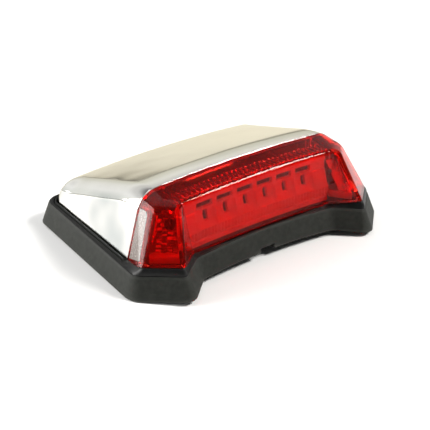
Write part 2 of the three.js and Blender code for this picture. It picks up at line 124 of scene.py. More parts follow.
def shade(obj, angle):
    """Smooth shading that keeps edges sharper than the angle."""
    bm = bmesh.new()
    bm.from_mesh(obj.data)
    limit = math.radians(angle)
    for face in bm.faces:
        face.smooth = True
    for edge in bm.edges:
        edge.smooth = len(edge.link_faces) == 2 and edge.calc_face_angle(0) < limit
    bm.to_mesh(obj.data)
    bm.free()
    normals = obj.modifiers.new("normals", "WEIGHTED_NORMAL")
    normals.keep_sharp = True
    return obj


def hull(name, points, placed=False):
    """The convex body round points of the flat layout, or round points already placed."""
    bm = bmesh.new()
    for p in points:
        bm.verts.new(p if placed else place(p))
    bmesh.ops.convex_hull(bm, input=bm.verts)
    loose = [v for v in bm.verts if not v.link_faces]
    bmesh.ops.delete(bm, geom=loose, context="VERTS")
    mesh = bpy.data.meshes.new(name)
    bmesh.ops.recalc_face_normals(bm, faces=bm.faces)
    bm.to_mesh(mesh)
    bm.free()
    return linked(name, mesh)


def combine(target, cutters, operation):
    """Joins the cutters to the target, cuts them from it, or keeps what they share."""
    for cutter in cutters:
        step = target.modifiers.new("combine", "BOOLEAN")
        step.operation = operation
        step.object = cutter
        step.solver = "MANIFOLD"
        made = bpy.data.meshes.new_from_object(
            target.evaluated_get(bpy.context.evaluated_depsgraph_get())
        )
        target.modifiers.clear()
        if not made.polygons:
            raise ValueError("nothing is left of " + target.name + " after " + cutter.name)
        target.data = made
    for cutter in cutters:
        bpy.data.objects.remove(cutter)
    return target


def join_loose(name, parts):
    """One object that holds the meshes of parts that don't touch each other."""
    bm = bmesh.new()
    for part in parts:
        bm.from_mesh(part.data)
        bpy.data.objects.remove(part)
    mesh = bpy.data.meshes.new(name)
    bm.to_mesh(mesh)
    bm.free()
    return linked(name, mesh)


def lerp(a, b, t):
    return a + (b - a) * t


def offset(corners, distance):
    """A counter-clockwise outline's corners (x, y, radius) moved inwards; round corners keep their centres."""
    moved = []
    count = len(corners)
    for i, (x, y, radius) in enumerate(corners):
        x0, y0, _ = corners[i - 1]
        x1, y1, _ = corners[(i + 1) % count]
        before = Vector((x - x0, y - y0)).normalized()
        after = Vector((x1 - x, y1 - y)).normalized()
        n0 = Vector((-before.y, before.x))
        n1 = Vector((-after.y, after.x))
        step = (n0 + n1) * (distance / (1 + n0.dot(n1)))
        turn = before.x * after.y - before.y * after.x
        if radius > 0:
            radius = max(0.15, radius - distance if turn > 0 else radius + distance)
        moved.append((x + step.x, y + step.y, radius))
    return moved


def whole(half):
    """The right half of an outline, from the front middle to the back middle, and its mirror image."""
    left = [(-p[0], *p[1:]) for p in reversed(half) if abs(p[0]) > 1e-6]
    return list(half) + left


ARC_STEPS = 8


def ring(corners, heights, cuts):
    """Points of a closed outline. Each corner has a height and a count of points cut into the edge after it."""
    count = len(corners)
    spans = []
    for i, (x, y, radius) in enumerate(corners):
        corner = Vector((x, y))
        if radius == 0:
            spans.append([corner])
            continue
        back = (Vector(corners[i - 1][:2]) - corner).normalized()
        ahead = (Vector(corners[(i + 1) % count][:2]) - corner).normalized()
        half = math.acos(max(-1, min(1, back.dot(ahead)))) / 2
        centre = corner + (back + ahead).normalized() * (radius / math.sin(half))
        a = corner + back * (radius / math.tan(half)) - centre
        b = corner + ahead * (radius / math.tan(half)) - centre
        start = math.atan2(a.y, a.x)
        turn = math.atan2(a.x * b.y - a.y * b.x, a.dot(b))
        angles = [start + turn * k / ARC_STEPS for k in range(ARC_STEPS + 1)]
        spans.append([centre + radius * Vector((math.cos(angle), math.sin(angle))) for angle in angles])
    points = []
    for i, span in enumerate(spans):
        after = spans[(i + 1) % count][0]
        z0, z1 = heights[i], heights[(i + 1) % count]
        points += [(p.x, p.y, z0) for p in span]
        for k in range(1, cuts[i] + 1):
            t = k / (cuts[i] + 1)
            p = span[-1].lerp(after, t)
            points.append((p.x, p.y, lerp(z0, z1, t)))
    return points


def sweep(name, rings, low_middle, high_middle):
    """A closed body through rings of equal point counts, ended by a point at each end."""
    count = len(rings[0])
    vertices = [place(p) for r in rings for p in r]
    faces = []
    for r in range(len(rings) - 1):
        for i in range(count):
            j = (i + 1) % count
            a, b = r * count + i, r * count + j
            faces.append((a, b, b + count, a + count))
    first, last = len(vertices), len(vertices) + 1
    vertices += [place(low_middle), place(high_middle)]
    top = (len(rings) - 1) * count
    for i in range(count):
        j = (i + 1) % count
        faces.append((j, i, first))
        faces.append((top + i, top + j, last))
    return tidy_mesh(add_object(name, vertices, faces))


def shell(name, outer, inner):
    """A closed body between two grids of points with equal rows, joined round their borders."""
    rows, columns = len(outer), len(outer[0])
    vertices = [place(p) for row in outer for p in row] + [place(p) for row in inner for p in row]
    layer = rows * columns
    faces = []

    def at(row, column):
        return row * columns + column

    for r in range(rows - 1):
        for c in range(columns - 1):
            quad = (at(r, c), at(r, c + 1), at(r + 1, c + 1), at(r + 1, c))
            faces.append(quad)
            faces.append(tuple(v + layer for v in reversed(quad)))
    border = [at(0, c) for c in range(columns - 1)]
    border += [at(r, columns - 1) for r in range(rows - 1)]
    border += [at(rows - 1, c) for c in range(columns - 1, 0, -1)]
    border += [at(r, 0) for r in range(rows - 1, 0, -1)]
    for i, a in enumerate(border):
        b = border[(i + 1) % len(border)]
        faces.append((b, a, a + layer, b + layer))
    return tidy_mesh(add_object(name, vertices, faces))


def ball(centre, radius, steps=8):
    """Points on a ball, for the hull of a rounded corner."""
    x, y, z = centre
    points = []
    for i in range(steps + 1):
        polar = math.pi * i / steps
        around = 1 if i in (0, steps) else 2 * steps
        for k in range(around):
            turn = 2 * math.pi * k / around
            points.append(
                (
                    x + radius * math.sin(polar) * math.cos(turn),
                    y + radius * math.sin(polar) * math.sin(turn),
                    z + radius * math.cos(polar),
                )
            )
    return points


def upright(name, x, y, low, high, radius, sides=32):
    """A straight cylinder, raised with the arch as a whole."""
    lift = arch(x)
    points = []
    for z in (low, high):
        for k in range(sides):
            turn = 2 * math.pi * k / sides
            points.append(
                Vector((x + radius * math.cos(turn), y + radius * math.sin(turn) - LENGTH / 2, z + lift)) * MM
            )
    return hull(name, points, placed=True)


# ---------------------------------------------------------------- materials
def new_material(name):
    material = bpy.data.materials.new(name)
    material.use_nodes = True
    tree = material.node_tree
    return material, tree, tree.nodes["Principled BSDF"]


def noise(tree, scale, detail=2.0, rough=0.5):
    coordinates = tree.nodes.new("ShaderNodeTexCoord")
    texture = tree.nodes.new("ShaderNodeTexNoise")
    texture.inputs["Scale"].default_value = scale
    texture.inputs["Detail"].default_value = detail
    texture.inputs["Roughness"].default_value = rough
    tree.links.new(coordinates.outputs["Object"], texture.inputs["Vector"])
    return texture.outputs["Fac"]


def ranged(tree, value, low, high, start=0.3, end=0.7):
    node = tree.nodes.new("ShaderNodeMapRange")
    node.inputs["From Min"].default_value = start
    node.inputs["From Max"].default_value = end
    node.inputs["To Min"].default_value = low
    node.inputs["To Max"].default_value = high
    tree.links.new(value, node.inputs["Value"])
    return node.outputs["Result"]


def blended(tree, factor, a, b):
    node = tree.nodes.new("ShaderNodeMix")
    node.data_type = "RGBA"
    tree.links.new(factor, node.inputs["Factor"])
    for socket, value in ((node.inputs[6], a), (node.inputs[7], b)):
        if isinstance(value, bpy.types.NodeSocket):
            tree.links.new(value, socket)
        else:
            socket.default_value = (*value, 1)
    return node.outputs[2]


def bumped(tree, shader, height, strength, distance):
    node = tree.nodes.new("ShaderNodeBump")
    node.inputs["Strength"].default_value = strength
    node.inputs["Distance"].default_value = distance
    tree.links.new(height, node.inputs["Height"])
    tree.links.new(node.outputs["Normal"], shader.inputs["Normal"])


def surface(
    name, dark, light, roughness, patch=120, grain=1800, bump=0.25, depth=0.00008, worn=None, worn_share=0.35,
    **sockets
):
    """A moulded or metal surface: patches of two shades, a fine grain and relief, and paler worn edges."""
    material, tree, shader = new_material(name)
    patches = noise(tree, patch, 4.0, 0.6)
    colour = blended(tree, ranged(tree, patches, 0, 1), dark, light)
    if worn is not None:
        geometry = tree.nodes.new("ShaderNodeNewGeometry")
        edge = ranged(tree, geometry.outputs["Pointiness"], 0, worn_share, 0.51, 0.56)
        colour = blended(tree, edge, colour, worn)
    tree.links.new(colour, shader.inputs["Base Color"])
    fine = noise(tree, grain, 3.0, 0.55)
    tree.links.new(ranged(tree, fine, *roughness), shader.inputs["Roughness"])
    bumped(tree, shader, fine, bump, depth)
    for socket, value in sockets.items():
        shader.inputs[socket.replace("_", " ")].default_value = value
    return material


def wavy(material, scale, distance):
    """Adds the slow waviness of a large moulded skin below the fine relief."""
    tree = material.node_tree
    fine = next(node for node in tree.nodes if node.type == "BUMP")
    slow = tree.nodes.new("ShaderNodeBump")
    slow.inputs["Strength"].default_value = 0.5
    slow.inputs["Distance"].default_value = distance
    tree.links.new(noise(tree, scale, 1.0), slow.inputs["Height"])
    tree.links.new(slow.outputs["Normal"], fine.inputs["Normal"])


def paint_steep_reflections(material, scale, colour):
    """Paints reflections: faint blue-grey cloudy patches on the steep faces of a bright metal, standing in for
    the surroundings that they reflect.
    """
    tree = material.node_tree
    shader = tree.nodes["Principled BSDF"]
    clean = shader.inputs["Base Color"].links[0].from_socket
    # painted reflection: the patches only fall on faces that tilt away from straight up
    geometry = tree.nodes.new("ShaderNodeNewGeometry")
    parts = tree.nodes.new("ShaderNodeSeparateXYZ")
    tree.links.new(geometry.outputs["Normal"], parts.inputs[0])
    share = tree.nodes.new("ShaderNodeMath")
    share.operation = "MULTIPLY"
    tree.links.new(ranged(tree, parts.outputs["Z"], 1, 0, 0.35, 0.7), share.inputs[0])
    tree.links.new(ranged(tree, noise(tree, scale, 2.0), 1, 0, 0.38, 0.56), share.inputs[1])
    tree.links.new(blended(tree, share.outputs[0], clean, colour), shader.inputs["Base Color"])


RUBBER = surface(
    "rubber", (0.0205, 0.0215, 0.019), (0.0295, 0.031, 0.027), (0.5, 0.7), patch=420, grain=2600,
    bump=0.35, depth=0.0001, worn=(0.085, 0.086, 0.078), worn_share=0.5, Specular_IOR_Level=0.12,
)
# painted shade: a darker rubber, also smoother, for the seat round the lens, standing in for the shade in the
# groove under the lens
SHADED_SEAT_RUBBER = surface(
    "seat_rubber_painted_shade", (0.004, 0.004, 0.004), (0.009, 0.009, 0.009), (0.36, 0.5), patch=300, grain=1500,
    bump=0.12, depth=0.00005, Specular_IOR_Level=0.2,
)
# the beige Specular_Tint is painted reflection: the warm tone of the reflected room set into the metal's own
# colour
CHROME = surface(
    "chrome", (0.86, 0.85, 0.83), (0.91, 0.90, 0.88), (0.03, 0.055), patch=60, grain=500,
    bump=0.03, depth=0.00002, Metallic=1.0, Specular_Tint=(0.67, 0.63, 0.505, 1.0),
)
wavy(CHROME, 36, 0.0005)
# painted reflection: blue-grey patches on the chrome's steep faces
paint_steep_reflections(CHROME, 27, (0.53, 0.56, 0.565))
SILVERED = surface(
    "silvered", (0.84, 0.83, 0.81), (0.95, 0.94, 0.93), (0.25, 0.36), patch=200, grain=1500,
    bump=0.06, depth=0.00004, Metallic=0.15,
)
FACETED = surface(
    "faceted", (0.5, 0.49, 0.48), (0.72, 0.71, 0.70), (0.08, 0.16), patch=300, grain=1500,
    bump=0.04, depth=0.00003, Metallic=0.85,
)
BLACK_PLASTIC = surface(
    "black_plastic", (0.012, 0.012, 0.013), (0.022, 0.022, 0.023), (0.45, 0.6), patch=150,
    worn=(0.05, 0.05, 0.05),
)
SOFT_SEAL = surface("soft_seal", (0.014, 0.014, 0.014), (0.024, 0.024, 0.023), (0.6, 0.8), patch=180)
BOARD = surface(
    "board_laminate", (0.012, 0.075, 0.028), (0.022, 0.12, 0.045), (0.3, 0.42), patch=260, grain=2200,
    bump=0.12, depth=0.00005,
)
LED_BODY = surface("led_body", (0.018, 0.016, 0.014), (0.04, 0.036, 0.03), (0.12, 0.2), patch=500)
WHITE_LED = surface("white_led", (0.78, 0.76, 0.68), (0.86, 0.84, 0.76), (0.3, 0.42), patch=500)
COMPONENT = surface("component", (0.012, 0.012, 0.013), (0.025, 0.025, 0.026), (0.35, 0.5), patch=500)
STEEL = surface(
    "steel", (0.42, 0.42, 0.43), (0.55, 0.55, 0.56), (0.25, 0.42), patch=300, worn=(0.7, 0.7, 0.7),
    Metallic=1.0,
)
BRASS = surface(
    "brass", (0.55, 0.38, 0.13), (0.68, 0.48, 0.19), (0.25, 0.42), patch=300, worn=(0.8, 0.6, 0.3),
    Metallic=1.0,
)
RED_LENS = surface(
    "red_lens", (0.93, 0.024, 0.014), (0.96, 0.034, 0.02), (0.02, 0.045), patch=70, grain=350, bump=0.02,
    depth=0.00002, Transmission_Weight=0.95, IOR=1.3, Specular_Tint=(0.7, 0.55, 0.55, 1.0),
)
CLEAR_LENS = surface(
    "clear_lens", (0.26, 0.215, 0.195), (0.34, 0.29, 0.265), (0.2, 0.3), patch=55, grain=900, bump=0.05,
    depth=0.00004, Transmission_Weight=0.35, IOR=1.49,
)


def floor_material():
    """Pale studio paper with painted shade: its colour turns darker and warmer away from the object."""
    material, tree, shader = new_material("floor")
    geometry = tree.nodes.new("ShaderNodeNewGeometry")
    distance = tree.nodes.new("ShaderNodeVectorMath")
    distance.operation = "LENGTH"
    tree.links.new(geometry.outputs["Position"], distance.inputs[0])
    patches = blended(tree, ranged(tree, noise(tree, 3, 3), 0, 1), (0.87, 0.87, 0.865), (0.885, 0.885, 0.88))
    # painted shade: the paper darkens and warms from 0.5 m out, standing in for the falloff of the light
    share = ranged(tree, distance.outputs["Value"], 0, 1, 0.5, 1.2)
    tree.links.new(blended(tree, share, patches, (0.74, 0.73, 0.69)), shader.inputs["Base Color"])
    shader.inputs["Roughness"].default_value = 0.9
    shader.inputs["Specular IOR Level"].default_value = 0.1
    return material


FLOOR = floor_material()


def dress(obj, material, slot, *replaced):
    """Gives a piece its material, and names and hides the nodes that it stands in for; slot is not used."""
    obj.data.materials.clear()
    obj.data.materials.append(material)
    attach(obj, "root")
    if replaced:
        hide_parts(*replaced)
    return obj


# ---------------------------------------------------------------- forms of the lens and the housing
HEEL_ROUNDING = 1.8
CREST_ROUNDING = 8.5
# edge: its x and y at the lens's foot, how far they move for each millimetre up, and its rounding in the seat
LENS_EDGES = {
    "middle": (0.0, 17.2, 0.0, 0.04, 0),
    "front": (19.0, 17.2, 0.0, 0.04, 0),
    "notch": (37.3, 17.2, 0.2734, 0.04, 1.2),
    "toe": (51.1, 4.2, -0.223, 0.495, 1.3),
    "heel": (65.0, 17.6, -0.431, 0.294, HEEL_ROUNDING),
    "side": (61.0, 34.0, -0.2755, 0.0, 0),
}


def lens_corner(name, z):
    """Where an edge of the lens is at a height near its bottom, and its rounding."""
    x, y, lean_x, lean_y, rounding = LENS_EDGES[name]
    up = z - LENS_FOOT
    return (x + lean_x * up, y + lean_y * up, rounding)


def top_height(y):
    """Height of the housing's top, which rolls down towards the lens."""
    roll = max(0.0, ROLL_START - y)
    return TOP_AT_CREST + TOP_SLOPE * (HOUSING_BACK - BACK_CREST - y) - roll**2 / (2 * ROLL_RADIUS)


TOP_MIDDLE = 40  # index of a point on the level top of a section


def housing_section(y, inset, back):
    """One section of the housing across its width: right side up, over the top, and down the left."""
    corner = BACK_CORNER - inset
    crest = BACK_CREST - inset / 2
    past = max(0.0, y - (back - corner))
    pinch = corner - math.sqrt(max(0.0, corner**2 - past**2))
    base = HOUSING_HALF_WIDTH - inset - SIDE_TAPER * (y - HOUSING_FRONT) - pinch
    roll = min(1.0, max(0.0, y - (back - crest)) / crest)
    rise = (top_height(y) - inset - SIDE_START) * math.sqrt(max(0.0, 1 - roll**2))
    fillet = min(TOP_FILLET - inset, 0.75 * rise)
    lean = math.atan(SIDE_LEAN)
    reach = fillet * math.tan((math.pi / 2 - lean) / 2)
    centre = base - SIDE_LEAN * rise - reach
    low = SIDE_START + rise - fillet
    half = [(base, HOUSING_BOTTOM), (base, 7.5)]
    foot = (centre + fillet * math.cos(lean), low + fillet * math.sin(lean))
    for k in range(9):
        half.append((lerp(base, foot[0], k / 9), lerp(SIDE_START, foot[1], k / 9)))
    for k in range(13):
        angle = lerp(lean, math.pi / 2, k / 12)
        half.append((centre + fillet * math.cos(angle), low + fillet * math.sin(angle)))
    edge = half[-1]
    for k in range(1, 16):
        half.append((lerp(edge[0], 0, k / 15), edge[1]))
    left = [(-x, z) for x, z in reversed(half[:-1])]
    return [(x, y, z) for x, z in half + left]


# ---------------------------------------------------------------- rubber base
# corners (x, y, radius) of the right half of the wall; filled() sets the two that are None
HALF_BOTTOM = [
    (0, 12.6, 0), (18.5, 12.1, 0), (36.5, 10.8, 6), (50, -1.5, 5.0), (70.0, 18.6, 10), None, None,
    (64.2, 105, 6), (0, 105, 0),
]
HALF_TOP = [
    (0, 15.1, 0), (18.7, 14.7, 0), (37.8, 13.7, 6), (50.2, 4.2, 2.5), (66.6, 20.8, 7), None, None,
    (60.8, 103.4, 6), (0, 103.4, 0),
]
SIDE_SPLIT = (34.0, 34.8)  # where the foot's seat ends and the housing's groove begins
# points cut into the edge after each corner, right round
CUTS = [6, 6, 6, 8, 8, 1, 24, 26, 26, 24, 1, 8, 8, 6, 6, 6]
# (distance outside the housing, height) of the rim, groove, lip and pocket beside and behind the housing
SIDE_PROFILE = [
    (2.1, 10.0), (1.95, 9.92), (1.88, 9.7), (1.82, 8.7), (1.5, 8.55), (1.42, 8.7), (1.38, 9.9), (1.3, 10.15),
    (1.1, 10.22), (0.85, 10.22), (0.68, 10.12), (0.62, 9.9), (0.6, 8.2), (0.55, 6.0), (0.5, 2.6),
]
# The same steps at the feet: share of the rise from the rim to the shoulder's top (None is below the lens),
# distance inside the lens outline, and share of the way from the rim to that outline.
FRONT_PROFILE = [
    (0.0, 0.0, 0.06), (0.05, 0.0, 0.18), (0.14, 0.0, 0.3), (0.25, 0.0, 0.42), (0.38, 0.0, 0.54),
    (0.52, 0.0, 0.66), (0.68, 0.0, 0.78), (0.84, 0.0, 0.9), (0.96, 0.0, 0.98), (1.0, 0.3, 1), (1.0, 0.8, 1),
    (1.0, 1.6, 1), (0.95, 2.3, 1), (None, 2.6, 1), (None, 2.8, 1),
]
BELOW_LENS = 6.0
POCKET_FLOOR = 2.6


def side_point(corner, after, y):
    t = (y - corner[1]) / (after[1] - corner[1])
    return (lerp(corner[0], after[0], t), y, 0)


def filled(half):
    """The half outline with its two points on the side, where the foot's seat meets the housing's groove."""
    made = list(half)
    made[5] = side_point(half[4], half[7], SIDE_SPLIT[0])
    made[6] = side_point(half[4], half[7], SIDE_SPLIT[1])
    return made


def wall_ring(share, inset, z):
    """The drafted wall at a share of its height."""
    pairs = zip(filled(HALF_BOTTOM), filled(HALF_TOP))
    corners = whole([tuple(lerp(a, b, share) for a, b in zip(low, high)) for low, high in pairs])
    return ring(offset(corners, inset), [z] * len(corners), CUTS)


SEAT_TOPS = {
    "middle": 9.25, "front": 9.25, "notch": NOTCH_SHOULDER,
    "toe": SHOULDER_TOP, "heel": SHOULDER_TOP, "side": 9.7,
}
FRONT_RIM_DROPS = (0.0, 0.04, 0.25, 0.6)


def seat_ring(step):
    """One step from rim to floor: the lens's seat in front, the housing's groove beside and behind."""
    out, z_side = SIDE_PROFILE[step]
    share, inside, blend = FRONT_PROFILE[step]
    heights = []
    half = []
    for name in LENS_EDGES:
        if share is None:
            z = BELOW_LENS if step == len(FRONT_PROFILE) - 2 else POCKET_FLOOR
            seat = LENS_FOOT
        else:
            z = lerp(RIM_HEIGHT, SEAT_TOPS[name], share)
            seat = z
        if name in ("middle", "front") and step < len(FRONT_RIM_DROPS):
            z = RIM_HEIGHT - FRONT_RIM_DROPS[step]
        heights.append(z)
        half.append(lens_corner(name, max(seat, LENS_FOOT)))
    back_line = HOUSING_HALF_WIDTH - SIDE_TAPER * (HOUSING_BACK - HOUSING_FRONT)
    half.append((HOUSING_HALF_WIDTH - SIDE_TAPER * (SIDE_SPLIT[1] - HOUSING_FRONT), SIDE_SPLIT[1], 0))
    half.append((back_line, HOUSING_BACK, BACK_CORNER))
    half.append((0, HOUSING_BACK, 0))
    heights += [z_side] * 3
    corners = whole(half)
    rim = offset(whole(filled(HALF_TOP)), 0.55)
    pairs = zip(rim, offset(corners, inside))
    near = [tuple(lerp(a, b, blend) for a, b in zip(outer, inner)) for outer, inner in pairs]
    far = offset(corners, -out)
    mixed = [far[i] if corner[1] > SIDE_SPLIT[0] + 0.1 else near[i] for i, corner in enumerate(corners)]
    all_heights = heights + [h for h, c in zip(reversed(heights), reversed(half)) if abs(c[0]) > 1e-6]
    return ring(mixed, all_heights, CUTS)


BASE_MIDDLE = 62


def towards_middle(points, share, z):
    """A ring shrunk towards the middle of the base, for its sole and its floor."""
    return [(x * share, BASE_MIDDLE + (y - BASE_MIDDLE) * share, z) for x, y, _ in points]


def rubber_base():
    """Rings from the middle of the sole, out and up the wall, over the rim and down the seats to the floor."""
    rings = []
    sole = wall_ring(0, 0.55, 0.0)
    for share in (0.12, 0.3, 0.5, 0.7, 0.86, 0.95):
        rings.append(towards_middle(sole, share, 0.0))
    rings.append(sole)
    for inset, z in ((0.3, 0.04), (0.1, 0.18), (0.0, 0.45)):
        rings.append(wall_ring(z / RIM_HEIGHT, inset, z))
    for z in (1.6, 2.9, 4.2, 5.5, 6.8, 8.0, 8.9, 9.3):
        rings.append(wall_ring(z / RIM_HEIGHT, 0.0, z))
    for inset, z in ((0.04, 9.55), (0.14, 9.78), (0.32, 9.93), (0.55, 10.0)):
        rings.append(wall_ring(1.0, inset, z))
    for step in range(len(SIDE_PROFILE)):
        rings.append(seat_ring(step))
    floor_edge = rings[-1]
    for share in (0.9, 0.75, 0.55, 0.35, 0.15):
        rings.append(towards_middle(floor_edge, share, FLOOR_TOP))
    base = sweep("rubber_base", rings, (0, BASE_MIDDLE, 0.0), (0, BASE_MIDDLE, FLOOR_TOP))
    openings = [(place_at, 4) for place_at in SCREW_PLACES] + [(place_at, 7) for place_at in INSERT_PLACES]
    openings += [(GROMMET_PLACE, 7), (VENT_PLACE, 4.2)]
    holes = [upright("hole", x, y, -1, 5, radius) for (x, y), radius in openings]
    drain = [(x, y, z) for x in (-4, 4) for y in (8, 15.5) for z in (-1, 2.2)]
    holes.append(hull("drain", drain))
    combine(base, [join_loose("holes", holes)], "DIFFERENCE")
    shade(base, 38)
    dress(base, RUBBER, "base_rubber", "base_gasket")
    base.data.materials.append(SHADED_SEAT_RUBBER)  # darker rubber above the rim, round the lens: painted shade of the groove under the lens
    # the faces above the rim, or level just under it, take the painted shade
    for polygon in base.data.polygons:
        height = polygon.center.z / MM - arch(polygon.center.x / MM)
        seat = height > RIM_HEIGHT + 0.02 or (height > RIM_HEIGHT - 2 and polygon.normal.z > 0.9)
        polygon.material_index = int(seat)
    return base


# ---------------------------------------------------------------- chromed housing
FRONT_LIP = ((34.0, 0.2), (34.02, 0.1), (34.08, 0.04), (34.16, 0.01))  # (y, inset) of the rounded front edge
ROLL_STATIONS = (
    34.3, 34.6, 35.0, 35.5, 36.1, 37.0, 38.0, 39.0, 40.0, 41.0,
    41.8, 42.5, 43.3, 44.5, 45.5, 46.5, 47.5, 48.5, 49.5,
)
POST_RADIUS, PILOT_RADIUS = 3.4, 1.6


def housing():
    """The chromed skin from the lens to its closed back, with four screw posts inside."""
    reach = HOUSING_BACK - BACK_CORNER
    plain = list(ROLL_STATIONS) + list(np.arange(51, reach - 0.5, 1.9))
    plain += [reach + BACK_CORNER * math.sin(math.radians(angle)) for angle in range(0, 91, 4)]
    plain.append(HOUSING_BACK)
    stations = list(FRONT_LIP) + [(y, 0.0) for y in plain]
    outer, inner = [], []
    inner_back = HOUSING_BACK - SKIN
    for y, inset in stations:
        outer.append(housing_section(min(y, HOUSING_BACK - 1e-4), inset, HOUSING_BACK))
        depth = lerp(HOUSING_FRONT, inner_back, (y - HOUSING_FRONT) / (HOUSING_BACK - HOUSING_FRONT))
        inner.append(housing_section(min(depth, inner_back - 1e-4), SKIN, inner_back))
    outer.append([(x, y, HOUSING_BOTTOM) for x, y, _ in outer[-1]])
    inner.append([(x, y, HOUSING_BOTTOM) for x, y, _ in inner[-1]])
    body = shell("chrome_shell", outer, inner)
    posts = []
    for x, y in SCREW_PLACES:
        posts.append(upright("post", x, y, HOUSING_BOTTOM, min(34, top_height(y) - 2.6), POST_RADIUS))
    combine(body, posts, "UNION")
    combine(body, [upright("pilot", x, y, 0, 14, PILOT_RADIUS) for x, y in SCREW_PLACES], "DIFFERENCE")
    shade(body, 40)
    dress(body, CHROME, "chrome_plating", "chrome_housing")
    body.data.materials.append(BLACK_PLASTIC)  # for the unplated faces inside
    inside = place((0, 66, 8))
    for polygon in body.data.polygons:
        polygon.material_index = int(polygon.normal.dot(polygon.center - inside) < 0)
    return body


# ---------------------------------------------------------------- lens
def tucked(corner, normals, radius):
    """Centre of a ball that touches the three planes of a corner from inside."""
    matrix = Matrix([Vector(n).normalized() for n in normals])
    target = Vector([row.dot(Vector(corner)) - radius for row in matrix])
    return matrix.inverted() @ target


TOP_NORMAL = (0, -0.101, 0.995)
FRONT_NORMAL = (0, -0.9992, 0.04)
FOOT_NORMAL = (0.613, -0.645, 0.456)
SIDE_NORMAL = (0.955, 0.13, 0.263)
NOTCH_NORMAL = (-0.66, -0.74, 0.13)
CREST_PLANES = (TOP_NORMAL, FOOT_NORMAL, SIDE_NORMAL)


def edge_profile(p, a, b, width):
    """Points over a rounded edge through p, between two faces that leave it along a and b."""
    start, end = p + a * width, p + b * width
    bulge = (p - (start + end) / 2) * 0.3
    return [start.lerp(end, t) + bulge * (1 - (2 * t - 1) ** 4) for t in (0, 0.1, 0.28, 0.5, 0.72, 0.9, 1)]


TOE_EDGE = (Vector((51.1, 4.2, 9)) - RIDGE).normalized()
TOP_AWAY = Vector((0, 0.995, 0.101))
FRONT_AWAY = Vector((0, -0.04, -0.9992))


def end_block(inset, deep):
    """Hull points of the right end of the lens: foot, heel, side and its part of the top."""
    round_crest = max(0.5, CREST_ROUNDING - inset)
    round_heel = max(0.3, HEEL_ROUNDING - inset)
    ridge = tucked(RIDGE, (TOP_NORMAL, FRONT_NORMAL, FOOT_NORMAL), inset)
    inner = Vector((-1, 0, 0))
    half = math.acos(inner.dot(TOE_EDGE)) / 2
    centre = ridge + (TOE_EDGE + inner).normalized() * (RIDGE_BEND / math.sin(half))
    start = ridge + inner * (RIDGE_BEND / math.tan(half)) - centre
    end = ridge + TOE_EDGE * (RIDGE_BEND / math.tan(half)) - centre
    foot_away = TOE_EDGE.cross(Vector(FOOT_NORMAL)).normalized()
    foot_away *= math.copysign(1, foot_away.x)
    notch_away = TOE_EDGE.cross(Vector(NOTCH_NORMAL)).normalized()
    notch_away *= -math.copysign(1, notch_away.x)
    points = []
    for k in range(17):
        t = k / 16
        width = lerp(RIDGE_WIDTH, 0.55, t) if inset == 0 else 0.2
        p = start.slerp(end, t) * RIDGE_BEND + centre
        points += edge_profile(p, TOP_AWAY.slerp(foot_away, t), FRONT_AWAY.slerp(notch_away, t), width)
    points += ball(tucked(CREST, CREST_PLANES, inset + round_crest), round_crest, 14)
    for name, radius, normals in (
        ("notch", 0.2, (FRONT_NORMAL, NOTCH_NORMAL)),
        ("toe", max(0.2, 1.0 - inset), (NOTCH_NORMAL, FOOT_NORMAL)),
        ("heel", round_heel, (FOOT_NORMAL, SIDE_NORMAL)),
    ):
        x, y, _ = lens_corner(name, deep)
        points += ball(tucked((x, y, deep), (*normals, (0, 0, -1)), inset + radius), radius)
    for x, y, z in housing_section(HOUSING_FRONT, inset + 0.1, HOUSING_BACK):
        if x > 40:
            points.append((x, LENS_BACK, z))
            if z < 9.6:
                points.append((x, LENS_BACK, deep))
    return points


def middle_block(inset, deep):
    """Hull points of the lens between its ends: front face and top."""
    width = RIDGE_WIDTH if inset == 0 else 0.2
    points = []
    reach = RIDGE.x - 0.75 * inset - 2.4
    top_middle = housing_section(HOUSING_FRONT, inset + 0.1, HOUSING_BACK)[TOP_MIDDLE][2]
    count = 44
    for k in range(count + 1):
        x = lerp(-reach, reach, k / count)
        p = tucked((x, RIDGE.y, RIDGE.z), (TOP_NORMAL, FRONT_NORMAL, (1, 0, 0)), inset)
        p.x = x
        points += edge_profile(p, TOP_AWAY, FRONT_AWAY, width)
        points.append((x, lens_corner("middle", deep)[1] + inset, deep))
        points.append((x, LENS_BACK, deep))
        points.append((x, LENS_BACK, top_middle))
    return points


def mirror(points):
    return [(-p[0], p[1], p[2]) for p in points]


def ended_at(points, back):
    """The points with their back face moved to another y."""
    return [(x, y if y < LENS_BACK - 0.01 else back, z) for x, y, z in points]


def lens_body(name, inset, back, deep):
    """The lens's form moved inwards by inset, from its back face down to the depth given."""
    middle = hull(name, ended_at(middle_block(inset, deep), back))
    right = ended_at(end_block(inset, deep), back)
    return combine(middle, [hull("end", right), hull("end", mirror(right))], "UNION")


NOTCH_X, TOE_X = 36.4, 50.0
SHOULDER_LEVEL_TO = 19.3  # the shoulder is level to here and then falls towards the housing
SHOULDER_DROP = 5.112


def shoulder_cutters(lift):
    """What is below the lens: the raised rubber of each foot, and the rim along the front."""
    made = []
    for sign in (1, -1):
        points = []
        for x in np.linspace(30, 76, 24):
            share = min(1.0, (x - NOTCH_X) / (TOE_X - NOTCH_X))
            top = max(8.0, lerp(NOTCH_SHOULDER, SHOULDER_TOP, share) + lift)
            points += [(sign * x, y, z) for y in (-6, SHOULDER_LEVEL_TO) for z in (-2, top)]
            points += [(sign * x, 36, z) for z in (-2, max(7.9, top - SHOULDER_DROP))]
        made.append(hull("shoulder", points))
    points = [(x, y, z) for x in np.linspace(-80, 80, 81) for y in (-6, 60) for z in (-6, RIM_HEIGHT + lift)]
    made.append(hull("rim", points))
    return made


